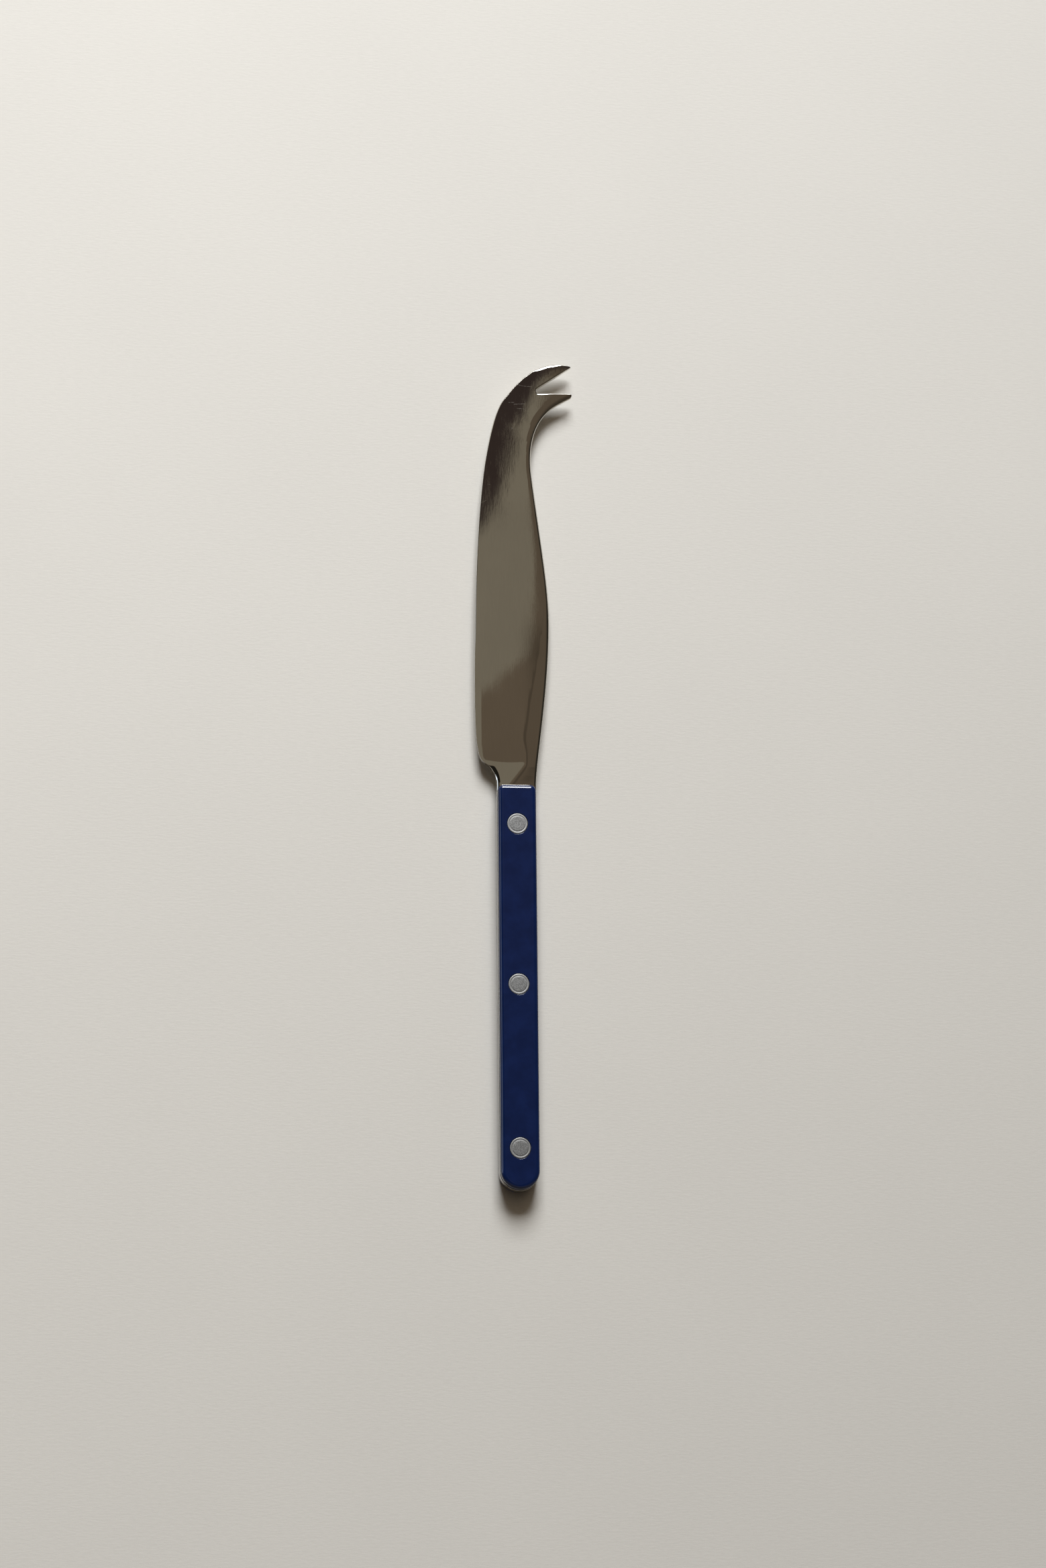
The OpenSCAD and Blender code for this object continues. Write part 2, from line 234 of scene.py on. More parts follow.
# The x of an outline point is a share of the blade's width. The y of a body point is a share
# of the straight part from the handle, and the y of a head point is a share of the head's
# length back from the tip. The y of a prong point counts from the lower prong's upper edge.
EDGE_X = -0.536
EDGE_BODY = ((-0.536, 0.295), (-0.536, 0.546), (-0.496, 0.852))
EDGE_HEAD = (-0.391, 0.931)
CURVE = ((-0.264, 0.38), (-0.139, 0.336), (-0.064, 0.274))
CROWN = ((0.176, 0.079), (0.413, 0), (0.602, 0))
NOSE = ((0.687, 0), (0.748, 0.006), (0.789, 0.018))
UPPER_TIP = ((0.802, 0.0215), (0.802, 0.029), (0.789, 0.031))
LOWER_TIP_X = 0.811
LOWER_TIP = ((0.815, 0.028), (0.782, 0.04))
PRONG_BACK = ((0.687, 0.073), (0.588, 0.104), (0.508, 0.145))
HOLLOW = ((0.252, 0.546), (0.212, 0.775), (0.256, 1))
SPINE = ((0.381, 0.759), (0.464, 0.647), (0.464, 0.541))
BELLY = (0.464, 0.317)
FLARE = (0.013, 0.103)
NECK = ((0, 0), (0, 0.215), (-0.015, 0.516), (0.41, 0.794))
HEEL = ((0.75, 1.01), (1, 0.82))
PIVOT = (0.847, 0.871)
# how wide the eased strip is along the blade: share of its length, times the eased width
EASE = np.array([(0, 4.2), (0.013, 3.7), (0.026, 2.9), (0.046, 2.2), (0.067, 2.5),
                 (0.087, 2.96), (0.107, 3.7), (0.121, 3.9), (0.149, 3.6), (0.191, 3.5),
                 (0.427, 0.6), (0.6, 0.6), (0.76, 0.65), (0.8, 0.93), (0.84, 1.3),
                 (0.88, 1.7), (0.93, 2), (1, 2)])
# the angle, in degrees, that the head sweeps round its pivot from the edge to the tip
HEAD_SWEEP = 105
# the ramp at the heel and the dip beside it, towards the spine: a point on the edge, the
# direction away from the edge, the slope, and how softly it meets the face
Ramp = namedtuple("Ramp", "x y out_x out_y slope soft")
RAMP = Ramp(-0.6, 1.0, -0.79, 0.61, 0.03, 0.011)
DIP = Ramp(-1.33, 1.28, 0.804, -0.595, 0.013, 1.0)
# how far the rounding of a creased rim stops short of a quarter turn, in radians
CREASE = 0.62


def smooth(t):
    """0 below 0 and 1 above 1, with a smooth step between them."""
    u = np.clip(t, 0, 1)
    return u * u * (3 - 2 * u)


def soft_max(a, b, soft):
    """The larger of two values, blended where they are close."""
    return (a + b + np.sqrt((a - b) ** 2 + soft ** 2)) / 2


def soft_min(a, b, soft):
    """The smaller of two values, blended where they are close."""
    return (a + b - np.sqrt((a - b) ** 2 + soft ** 2)) / 2


def beyond(x, y, ramp):
    """How far a place lies beyond the edge of a ramp."""
    return (x - ramp.x) * ramp.out_x + (y - ramp.y) * ramp.out_y


def blurred(values):
    """Each value averaged with its neighbours along a closed outline."""
    return (np.roll(values, 1, 0) + 2 * values + np.roll(values, -1, 0)) / 4


def bezier(a, b, c, d, step):
    """Points on a cubic curve about a step apart, without its last point."""
    a, b, c, d = [np.array(p, float) for p in (a, b, c, d)]
    reach = np.linalg.norm(b - a) + np.linalg.norm(c - b) + np.linalg.norm(d - c)
    t = np.linspace(0, 1, max(6, int(reach / step)), endpoint=False)[:, None]
    u = 1 - t
    return u ** 3 * a + 3 * u * u * t * b + 3 * u * t * t * c + t ** 3 * d


def line(a, b, step):
    """Points on a straight line about a step apart, without its last point."""
    a, b = np.array(a, float), np.array(b, float)
    t = np.linspace(0, 1, max(2, int(np.linalg.norm(b - a) / step)), endpoint=False)
    return a + t[:, None] * (b - a)


def arc(centre, radius, start, end, count):
    """Points on an arc, without its last point. Angles are in radians."""
    t = np.linspace(start, end, count, endpoint=False)
    return np.array(centre) + radius * np.stack([np.cos(t), np.sin(t)], 1)


class BladePlan:
    """The steel seen from above, in millimetres: x = 0 on the handle's centreline, y = 0 at
    the front of the handle. It gives the outline and the half thickness at any place."""

    def __init__(self, sizes):
        s = self.s = in_mm(sizes)
        self.tang_half = s["handle_width"] / 2 + s["tang_proud"]
        body = s["blade_length"] - s["head_length"]
        width = s["blade_width"]

        def body_pt(p):
            return np.array([p[0] * width, p[1] * body])

        def head_pt(p):
            return np.array([p[0] * width, s["blade_length"] - p[1] * s["head_length"]])

        def neck_pt(p):
            run = -EDGE_X * width - self.tang_half
            return np.array([-self.tang_half - p[0] * run, p[1] * s["heel_height"]])

        edge = [body_pt(p) for p in EDGE_BODY]
        edge_end = head_pt(EDGE_HEAD)
        curve, crown, nose, upper = [[head_pt(p) for p in group]
                                     for group in (CURVE, CROWN, NOSE, UPPER_TIP)]
        neck = [neck_pt(p) for p in NECK]
        heel = [neck_pt(p) for p in HEEL]
        outer = [bezier(*neck, 0.2), bezier(neck[3], *heel, edge[0], 0.2),
                 bezier(*edge, edge_end, 0.5), bezier(edge_end, *curve, 0.3),
                 bezier(curve[2], *crown, 0.2), bezier(crown[2], *nose, 0.12)]

        angle = sizes.slot_angle
        run = s["slot_length"] - s["slot_root"]
        root = upper[2] - [run, run * tan(angle) + s["slot_root"] / cos(angle)]
        lower_tip = np.array([LOWER_TIP_X * width, root[1] - s["slot_root"]])

        def prong_pt(p):
            return np.array([p[0] * width, lower_tip[1] - p[1] * s["head_length"]])

        start = root + s["slot_root"] * np.array([-sin(angle), cos(angle)])
        foot = root - [0, s["slot_root"]]
        self.root = root
        slot = [bezier(nose[2], *upper, 0.1), line(upper[2], start, 0.2),
                arc(root, s["slot_root"], radians(90) + angle, radians(270), 28),
                line(foot, lower_tip, 0.2)]
        prong_end = prong_pt(LOWER_TIP[1])
        corner = prong_pt(LOWER_TIP[0])
        tip = [bezier(lower_tip, [corner[0], lower_tip[1]], corner, prong_end, 0.1)]
        back = [prong_pt(p) for p in PRONG_BACK]
        hollow = [head_pt(p) for p in HOLLOW]
        spine = [body_pt(p) for p in SPINE]
        neck_root = np.array([self.tang_half + s["neck_flare"], 0])
        bend = neck_root + [FLARE[0] * width, FLARE[1] * body]
        inner = [bezier(prong_end, *back, 0.2), bezier(back[2], *hollow, 0.3),
                 bezier(hollow[2], *spine, 0.5),
                 bezier(spine[2], body_pt(BELLY), bend, neck_root, 0.4)]
        r = s["corner_radius"]
        half = self.tang_half
        butt = np.array([0, s["handle_width"] / 2 - s["handle_length"]])
        tang = [bezier(neck_root, [neck_root[0], -r / 2], [half, -r / 2], [half, -r], 0.2),
                line([half, -r], butt + [half, 0], 1.0), arc(butt, half, 0, -np.pi, 120),
                line(butt - [half, 0], [-half, -r], 1.0), line([-half, -r], neck[0], 0.2)]
        groups = (outer, slot, tip, inner, tang)
        self.points = np.concatenate([np.concatenate(g) for g in groups])
        counts = [sum(len(c) for c in g) for g in groups]
        self.kind = np.repeat(np.arange(5), counts)
        self.middle = (self.points.min(0) + self.points.max(0)) / 2
        # the sharp corner of the lower prong is worn round
        mid = counts[0] + counts[1]
        near = slice(mid - 8, mid + 9)
        for _ in range(16):
            self.points[near] = blurred(self.points)[near]

        self.pivot = head_pt(PIVOT)
        rail_out = np.concatenate(outer)
        rail_in = np.concatenate(inner)[::-1]
        peak = int(np.argmax(rail_out[:, 1]))
        self.level_out = rail_out[:peak]
        self.level_in = np.concatenate([[neck_root], rail_in])
        self.ray_out = self.as_rays(rail_out)
        self.ray_in = self.as_rays(rail_in)
        self.head_share = self.pivot[1] / s["blade_length"]

    def as_rays(self, rail):
        """Angle from -X and distance of rail points, as seen from the pivot."""
        run = rail - self.pivot
        angle = np.degrees(np.arctan2(run[:, 1], -run[:, 0]))
        table = np.stack([angle, np.linalg.norm(run, axis=1)], 1)
        return table[np.argsort(table[:, 0])]

    def across(self, p):
        """At each point: distance from the cutting edge, width, spine thickness, the share to
        which the face is ground, and the widths of the bevel and of the eased strip."""
        s = self.s
        x, y = p[:, 0], p[:, 1]
        level_y = np.maximum(y, 0)
        heel = 1.5 * s["heel_height"]
        x0 = np.interp([heel, heel + 1], self.level_out[:, 1], self.level_out[:, 0])
        x0 = np.where(y > heel, np.interp(y, self.level_out[:, 1], self.level_out[:, 0]),
                      x0[0] + (x0[1] - x0[0]) * (y - heel))
        x1 = np.interp(level_y, self.level_in[:, 1], self.level_in[:, 0])
        run = p - self.pivot
        angle = np.degrees(np.arctan2(run[:, 1], -run[:, 0]))
        reach = np.linalg.norm(run, axis=1)
        r0 = np.interp(angle, self.ray_out[:, 0], self.ray_out[:, 1])
        r1 = np.interp(angle, self.ray_in[:, 0], self.ray_in[:, 1])
        blend = smooth((y - self.pivot[1]) / 16 + 0.5)
        distance = (1 - blend) * (x - x0) + blend * (r0 - reach)
        width = (1 - blend) * (x1 - x0) + blend * (r0 - r1)
        share = np.where(y < self.pivot[1], level_y / s["blade_length"],
                         self.head_share + (1 - self.head_share)
                         * np.clip(angle, 0, HEAD_SWEEP) / HEAD_SWEEP)
        root = s["tang_thickness"] - 2 * s["shoulder_height"]
        thick = root + (s["prong_thickness"] - root) * share
        head = y > self.pivot[1]
        bevel = s["bevel_width"] * (1 - 0.75 * smooth((angle + 25) / 65))
        blunt = 1 - 0.75 * smooth((angle - 35) / 50) * head
        ease = np.interp(share, EASE[:, 0], EASE[:, 1]) * s["ease_width"]
        return distance, width, thick, blunt, bevel, ease

    def scale_front(self, x):
        """y of the front end of the scales at x, round their corners too."""
        r = self.s["corner_radius"]
        out = np.clip(np.abs(x) - (self.s["handle_width"] / 2 - r), 0, r)
        return np.sqrt(r * r - out * out) - r

    def half_thickness(self, p, back=False):
        """Height of a face above the middle plane, without the rounding of its edges. The
        front face runs almost smooth to the edge, and the back one has the bevel."""
        s = self.s
        d, w, t, blunt, bevel, ease = self.across(p)
        x, y = p[:, 0], p[:, 1]
        d = np.clip(d, 0, w)
        bevel_t = s["bevel_thickness"]
        u = np.clip((d - bevel) / (w - s["ease_width"] - bevel), 0 if back else -1, 1)
        face = (bevel_t + (t - bevel_t) * u * (1 + 0.2 * (1 - u))) / 2
        face = blunt * face + (1 - blunt) * t / 2
        if back:
            drop, power = (bevel_t - s["edge_thickness"]) / 2, 1.5
        else:
            drop, power = 0.05 * smooth((32 - y) / 12), 2
        drop = blunt * drop * np.clip(1 - d / bevel, 0, 1) ** power
        # a shallow ramp, ground across the neck, meets the face at the heel
        ramp = soft_max(face, t / 2 - RAMP.slope * beyond(x, y, RAMP), RAMP.soft)
        dip = DIP.slope * soft_max(beyond(x, y, DIP), 0, DIP.soft)
        half = soft_min(t / 2, ramp, 0.015) - drop - dip
        eased = np.clip(1 - (w - d) / ease, 0, 1)
        half = half - s["ease_depth"] * eased ** 2
        # the shoulder rises to the tang before the front of the scales
        front = y - self.scale_front(x)
        middle = 0.4 * (1 - smooth((np.abs(x) - 3) / 0.6))
        rise = middle * np.clip(1 - front / 0.55, 0, 1) ** 2 \
            + (1 - middle) * np.clip(1 - front / 0.1, 0, 1) ** 1.5
        return half + (s["tang_thickness"] / 2 - half) * rise

    def normals(self, p, back=False, reach=0.01):
        """Upward normals of the face at each point."""
        slopes = [(self.half_thickness(p + step, back) - self.half_thickness(p - step, back))
                  / (2 * reach) for step in ([reach, 0], [0, reach])]
        n = np.stack([-slopes[0], -slopes[1], np.ones(len(p))], 1)
        return n / np.linalg.norm(n, axis=1)[:, None]

    def arris(self, back=False):
        """Width and depth of the rounding at each outline point, and the angle where it
        stops. A creased rim stops before it has turned into the face."""
        x, y = self.points.T
        edge = self.kind == 0
        half = self.half_thickness(self.points, back)
        faces_up = smooth(self.outward()[:, 1] / 0.4)
        wide = np.choose(self.kind, [0.02 + 0.23 * smooth((y - 38) / 8), 0.45 - 0.37 * faces_up,
                                     0.5, 0.5, 0.06])
        spine = (self.kind == 3) * smooth((90 - y) / 10)
        # the neck is round from the heel to the corner of the scales
        neck = edge * smooth((0.76 - y / self.s["heel_height"]) * 7)
        corner = self.s["corner_radius"]
        side = (self.kind == 4) & (x < 0) & (y > -corner)
        neck = neck + side * smooth(1 + y / corner)
        # the crown of the head is buffed round
        angle = np.degrees(np.arctan2(y - self.pivot[1], self.pivot[0] - x))
        head = edge * (y > self.pivot[1])
        wide = wide + head * (0.12 * smooth(angle / 10) - 0.32 * smooth((angle - 82) / 6))
        crown = head * smooth((angle - 67) / 4) * smooth((84.5 - angle) / 7)
        # the root of the slot is buffed round on the lower prong
        root = (self.kind == 1) * smooth((self.outward()[:, 1] - 0.2) / 0.6) \
            * smooth((self.root[0] + 4.5 - x) / 4)
        # where each of these is, and how wide and deep its rounding is
        rounded = ((neck, 2.5, 0.76), (crown, 0.95, 0.5), (root, 0.42, 0.3),
                   (spine, 0.75, 0.4))
        deep = wide + sum(where * (depth - wide) for where, _, depth in rounded)
        wide = wide + sum(where * (width - wide) for where, width, _ in rounded)
        # a rim that looks away from the handle meets the face in a crease
        crease = np.maximum(neck, 0.75 * faces_up * (self.kind < 3) * (1 - crown) * (1 - root))
        room = 0.4 / np.maximum(self.turning(), 1e-6)
        room = room / (1 - np.cos(np.pi / 2 - CREASE * crease))
        wide = np.minimum(wide, np.minimum.reduce([np.roll(room, k) for k in range(-6, 7)]))
        for _ in range(6):
            wide, deep, crease = blurred(wide), blurred(deep), blurred(crease)
        return wide, np.minimum(deep, half - 0.03), np.pi / 2 - CREASE * crease

    def outward(self):
        """Outward directions at the outline points."""
        run = np.roll(self.points, -1, 0) - np.roll(self.points, 1, 0)
        out = np.stack([-run[:, 1], run[:, 0]], 1)
        return out / np.linalg.norm(out, axis=1)[:, None]

    def turning(self):
        """How sharply the outline turns inwards at each point, per millimetre."""
        out = self.outward()
        run = np.roll(self.points, -2, 0) - np.roll(self.points, 2, 0)
        change = np.roll(out, -2, 0) - np.roll(out, 2, 0)
        bend = (change * run).sum(1) / (run * run).sum(1)
        wide = np.maximum.reduce([np.roll(bend, k) for k in range(-3, 4)])
        return np.maximum(wide, 0)


def fill_plane(loops, inside=np.zeros((0, 2))):
    """Triangles, facing up, between closed loops and through free points. The first loop is
    the rim, and the others are round holes."""
    points = np.concatenate([*loops, inside])
    start, after, count = [], [], 0
    for ring in loops:
        ids = np.arange(count, count + len(ring))
        start.append(ids)
        after.append(np.roll(ids, -1))
        count += len(ring)
    start, after = np.concatenate(start), np.concatenate(after)
    edges = [(int(i), int(j)) for i, j in zip(start, after)]
    made, _, faces, origin, _, _ = delaunay_2d_cdt(
        [Vector(p) for p in points], edges, [], 1, 1e-6, True)
    faces = np.array([[origin[i][0] for i in face] for face in faces])
    a, b, c = [points[faces[:, k]] for k in range(3)]
    # a triangle is kept where a ray from its middle crosses the loops an odd number of times
    middle = (a + b + c) / 3
    p, q = points[start], points[after]
    x, y = middle[:, :1], middle[:, 1:]
    spans = (p[:, 1] > y) != (q[:, 1] > y)
    rise = np.where(spans, q[:, 1] - p[:, 1], 1)
    cross = spans & (x < p[:, 0] + (y - p[:, 1]) * (q[:, 0] - p[:, 0]) / rise)
    kept = cross.sum(1) % 2 == 1
    down = (b[:, 0] - a[:, 0]) * (c[:, 1] - a[:, 1]) < (b[:, 1] - a[:, 1]) * (c[:, 0] - a[:, 0])
    faces[down] = faces[down][:, ::-1]
    return faces[kept]


def band(a, b, count, turned=False):
    """Faces between two closed rings of points, which start at a and b. They look the other
    way where they are turned."""
    faces = []
    for i in range(count):
        j = (i + 1) % count
        faces.append((a + i, a + j, b + j, b + i) if turned else (a + i, b + i, b + j, a + j))
    return faces


def make_mesh(name, points, faces, normals=None):
    """A smooth-shaded mesh piece from points already in the part's frame, in metres, with custom
    normals where they are given.
    """
    mesh = bpy.data.meshes.new(name)
    mesh.from_pydata([Vector(p) for p in points], [], [list(map(int, f)) for f in faces])
    mesh.validate()
    for polygon in mesh.polygons:
        polygon.use_smooth = True
    if normals is not None:
        mesh.normals_split_custom_set_from_vertices([Vector(n) for n in normals])
    piece = bpy.data.objects.new(name, mesh)
    bpy.context.scene.collection.objects.link(piece)
    return piece


def to_part(points, sizes):
    """Moves points from the handle's frame, in millimetres, to the part's, in metres, and
    keeps them inside the solids' box."""
    middle = BladePlan(sizes).middle
    lift = (sizes.tang_thickness / 2 + sizes.scale_thickness) / MM
    moved = (np.asarray(points, float) - [*middle, -lift]) * MM
    floor, roof = [np.array(corner) for corner in CAD_BOX]
    return np.clip(moved, floor, roof)


def rivet_places(sizes):
    """y of each rivet, in millimetres in the handle's frame."""
    inset, run = sizes.rivet_inset / MM, sizes.handle_length / MM
    return [-inset - i * (run - 2 * inset) / (sizes.rivets - 1) for i in range(sizes.rivets)]


def stem_hole(s):
    """Radius of the hole that a rivet's stem passes through."""
    return s["stem_width"] / 2 + s["stem_gap"]


def across_face(s, width, count):
    """Distances from the cutting edge at which a row across the face has its points."""
    bevel = s["bevel_width"] * np.array([0.08, 0.16, 0.26, 0.38, 0.5, 0.65, 0.8, 1])
    return (*bevel, *np.linspace(2.5, width - 2, count),
            *(width - np.array([1.5, 1.2, 0.9, 0.6, 0.3])))


def face_places(plan, sizes, rim):
    """Points inside the rim that carry the shape of a face."""
    s = plan.s
    pivot = plan.pivot
    places = []
    # rows across the neck and the blade
    for y in (*np.arange(-2, 0, 0.3), *np.arange(0.55, 10, 0.2), *np.arange(10, pivot[1], 0.7)):
        x0, x1 = [np.interp(max(y, 0), level[:, 1], level[:, 0])
                  for level in (plan.level_out, plan.level_in)]
        places += [(x0 + d, y) for d in across_face(s, x1 - x0, 22)]
    # rays round the head
    for a in np.arange(0, 110, 1.2):
        r0, r1 = [np.interp(a, ray[:, 0], ray[:, 1]) for ray in (plan.ray_out, plan.ray_in)]
        for d in across_face(s, r0 - r1, 16):
            places.append((pivot[0] - (r0 - d) * cos(radians(a)),
                           pivot[1] + (r0 - d) * sin(radians(a))))
    # rows that follow the shoulder, and a few places along the tang
    spread = np.linspace(-6, 6, 61)
    for front in (*np.arange(-0.02, 0.12, 0.02), *np.arange(0.14, 0.5, 0.04)):
        places += list(zip(spread, front + plan.scale_front(spread)))
    for y in np.arange(-s["handle_length"] + 1, -2, 2.5):
        places += [(x, y) for x in np.linspace(-4.5, 4.5, 5)]
    places = np.array(places)
    for y in rivet_places(sizes):
        places = places[np.hypot(places[:, 0], places[:, 1] - y) > stem_hole(s) + 0.3]
    gap = np.linalg.norm(places[:, None] - rim[None], axis=2)
    near = gap.argmin(1)
    inside = ((places - rim[near]) * -plan.outward()[near]).sum(1) > 0
    return places[inside & (gap.min(1) > 0.16)]


def build_steel(sizes):
    """The whole piece of steel: blade, fork tip, neck and tang."""
    plan = BladePlan(sizes)
    out = plan.outward()
    steps = 9
    wide, _, stop = plan.arris()
    turns = [stop * k / steps for k in range(steps + 1)]
    flat = [plan.points - out * (wide * (1 - np.cos(phi)))[:, None] for phi in turns]
    rim = plan.points - out * (wide * (1 - np.cos(stop)) + 0.02)[:, None]
    rings = [arc((0, y), stem_hole(plan.s), 0, 2 * np.pi, 48) for y in rivet_places(sizes)]
    loops = [rim] + rings
    places = face_places(plan, sizes, rim)
    faces = fill_plane(loops, places)
    sheet = np.concatenate(loops + [places])
    n_out = len(plan.points)
    n_arris = n_out * (steps + 1)
    top_xy = np.concatenate(flat + [sheet])

    def face(back):
        """Heights and normals of one face, its rounded rim included."""
        _, deep, _ = plan.arris(back)
        height, normal = [], []
        for phi, ring in zip(turns, flat):
            height.append(plan.half_thickness(ring, back) - deep * (np.sin(stop) - np.sin(phi)))
            n = (np.cos(phi) * deep)[:, None] * np.c_[out, np.zeros(n_out)] \
                + (np.sin(phi) * wide)[:, None] * plan.normals(ring, back)
            normal.append(n / np.linalg.norm(n, axis=1)[:, None])
        height.append(plan.half_thickness(sheet, back))
        normal.append(plan.normals(sheet, back))
        return np.concatenate(height), np.concatenate(normal)

    top_z, top_n = face(False)
    foot_z, foot_n = face(True)
    top_faces = [f for k in range(steps + 1) for f in band(k * n_out, (k + 1) * n_out, n_out)]
    top_faces += [[n_arris + i for i in f] for f in faces]
    size = len(top_xy)
    points = np.concatenate([np.c_[top_xy, top_z], np.c_[top_xy, -foot_z]])
    normals = np.concatenate([top_n, foot_n * [1, 1, -1]])
    all_faces = top_faces + [[size + i for i in f][::-1] for f in top_faces]
    all_faces += band(size, 0, n_out)
    start = n_arris + n_out
    for ring in rings:
        all_faces += band(start, size + start, len(ring))
        start += len(ring)
    return make_mesh("polished_blade", to_part(points, sizes), all_faces, normals)


# scales

def scale_outline(s, inset):
    """Outline of a scale, drawn in by an inset, with the same number of points each time."""
    r = s["corner_radius"] - inset
    half = s["handle_width"] / 2
    x = half - s["corner_radius"]
    y = -s["corner_radius"]
    butt = half - s["handle_length"]
    return np.concatenate([
        arc((x, y), r, 0, np.pi / 2, 20),
        line((x, y + r), (-x, y + r), 0.7),
        arc((-x, y), r, np.pi / 2, np.pi, 20),
        line((-x - r, y), (-half + inset, butt), 2.0),
        arc((0, butt), half - inset, np.pi, 2 * np.pi, 100),
        line((half - inset, butt), (x + r, y), 2.0)])


def build_scale(name, sizes, side):
    """One handle scale. side is 1 for the front one and -1 for the back one."""
    s = in_mm(sizes)
    foot = s["tang_thickness"] / 2
    top = foot + s["scale_thickness"]
    edge = s["edge_radius"]
    lip = 0.05
    rings = [(lip + 0.1, foot), (lip, foot), (lip * 0.3, foot + lip * 0.3), (0, foot + lip),
             (0, foot + lip + 0.1), (0, top - edge - 0.05)]
    soft = 1.4 * edge
    rings += [(soft * (1 - cos(a)), top - edge * (1 - sin(a)))
              for a in np.linspace(0, np.pi / 2, 33)]
    rings += [(soft + 0.06, top)]
    xy = [scale_outline(s, inset) for inset, _ in rings]
    n = len(xy[0])
    points = [np.c_[ring, np.full(n, z)] for ring, (_, z) in zip(xy, rings)]
    faces = [f for k in range(len(rings) - 1) for f in band(k * n, (k + 1) * n, n, True)]
    seat_r = s["rivet_width"] / 2 + s["seat_gap"]
    hole_r = stem_hole(s)
    seat_z = top - s["rivet_sink"] - s["rivet_head"]
    brk = s["seat_break"]
    count = 96
    wall = [(seat_r + brk + 0.12, top), (seat_r + brk, top)]
    wall += [(seat_r + brk * (1 - sin(a)), top - brk * (1 - cos(a)))
             for a in np.linspace(0.25, np.pi / 2, 5)]
    wall += [(seat_r, seat_z + 0.05), (seat_r, seat_z), (hole_r + 0.03, seat_z),
             (hole_r, seat_z - 0.03), (hole_r, foot + 0.05), (hole_r, foot)]
    start = len(rings) * n
    top_loops, foot_loops = [(len(rings) - 1) * n], [0]
    for y in rivet_places(sizes):
        for r, z in wall:
            ring = arc((0, y), r, 0, 2 * np.pi, count)
            points.append(np.c_[ring, np.full(count, z)])
        for k in range(len(wall) - 1):
            faces += band(start + k * count, start + (k + 1) * count, count, True)
        top_loops.append(start)
        foot_loops.append(start + (len(wall) - 1) * count)
        start += len(wall) * count
    points = np.concatenate(points)
    for loops, turn in ((top_loops, 1), (foot_loops, -1)):
        ids = [np.arange(loops[0], loops[0] + n)]
        ids += [np.arange(a, a + count) for a in loops[1:]]
        where = np.concatenate(ids)
        for face in fill_plane([points[i, :2] for i in ids]):
            faces.append(where[face][::turn])
    if side < 0:
        points = points * [1, 1, -1]
        faces = [list(f)[::-1] for f in faces]
    piece = make_mesh(name, to_part(points, sizes), faces)
    piece.data.set_sharp_from_angle(angle=radians(50))
    return piece


# rivets

# the face of a rivet head from its rim to its middle: share of the radius, and depth as a
# share of the groove's
HEAD_SHARES = ((1, 1), (0.988, 0.45), (0.965, 0.12), (0.94, 0), (0.88, 0), (0.86, 0.06),
               (0.82, 0.25), (0.79, 0.35), (0.76, 0.3), (0.72, 0.1), (0.7, 0.03), (0.66, 0),
               (0.4, 0), (0.2, 0), (0, 0))


def rivet_profile(s, hollow):
    """Half of a rivet's section, as (radius, height) from the seat, head at the top."""
    r = s["rivet_width"] / 2
    top = s["rivet_head"]
    groove = s["groove_depth"]
    reach = 2 * (s["tang_thickness"] / 2 + s["scale_thickness"] - s["rivet_sink"] - top)
    post, play = s["post_width"] / 2, 0.3
    if hollow:
        stem, bore, stem_z = s["stem_width"] / 2, post + 0.01, play - reach
        foot = [(0, 0), (bore, 0), (bore, stem_z), (stem - 0.05, stem_z),
                (stem, stem_z + 0.05), (stem, 0)]
    else:
        foot = [(0, -reach), (post - 0.1, -reach), (post, 0.1 - reach), (post, 0)]
    head = [(r * share, top - groove * depth) for share, depth in HEAD_SHARES]
    return foot + [(r - 0.04, 0), (r, 0.04)] + head


def spin(name, profile, count=128):
    """A closed turned piece, round the Z axis."""
    points, faces, rings = [], [], []
    for r, z in profile:
        if r < 1e-9:
            rings.append([len(points)])
            points.append((0, 0, z))
        else:
            rings.append(list(range(len(points), len(points) + count)))
            points += [(r * cos(t), r * sin(t), z)
                       for t in np.linspace(0, 2 * np.pi, count, endpoint=False)]
    for low, high in zip(rings, rings[1:]):
        for i in range(count):
            j = (i + 1) % count
            if len(low) == 1:
                faces.append((low[0], high[j], high[i]))
            elif len(high) == 1:
                faces.append((low[i], low[j], high[0]))
            else:
                faces.append((low[i], low[j], high[j], high[i]))
    mesh = bpy.data.meshes.new(name)
    mesh.from_pydata(points, [], faces)
    outer = max(r for r, _ in profile)
    rim = mesh.attributes.new("rim", "FLOAT", "POINT")
    for item, (x, y, _) in zip(rim.data, points):
        item.value = float(smooth((np.hypot(x, y) / outer - 0.74) / 0.1))
    return mesh


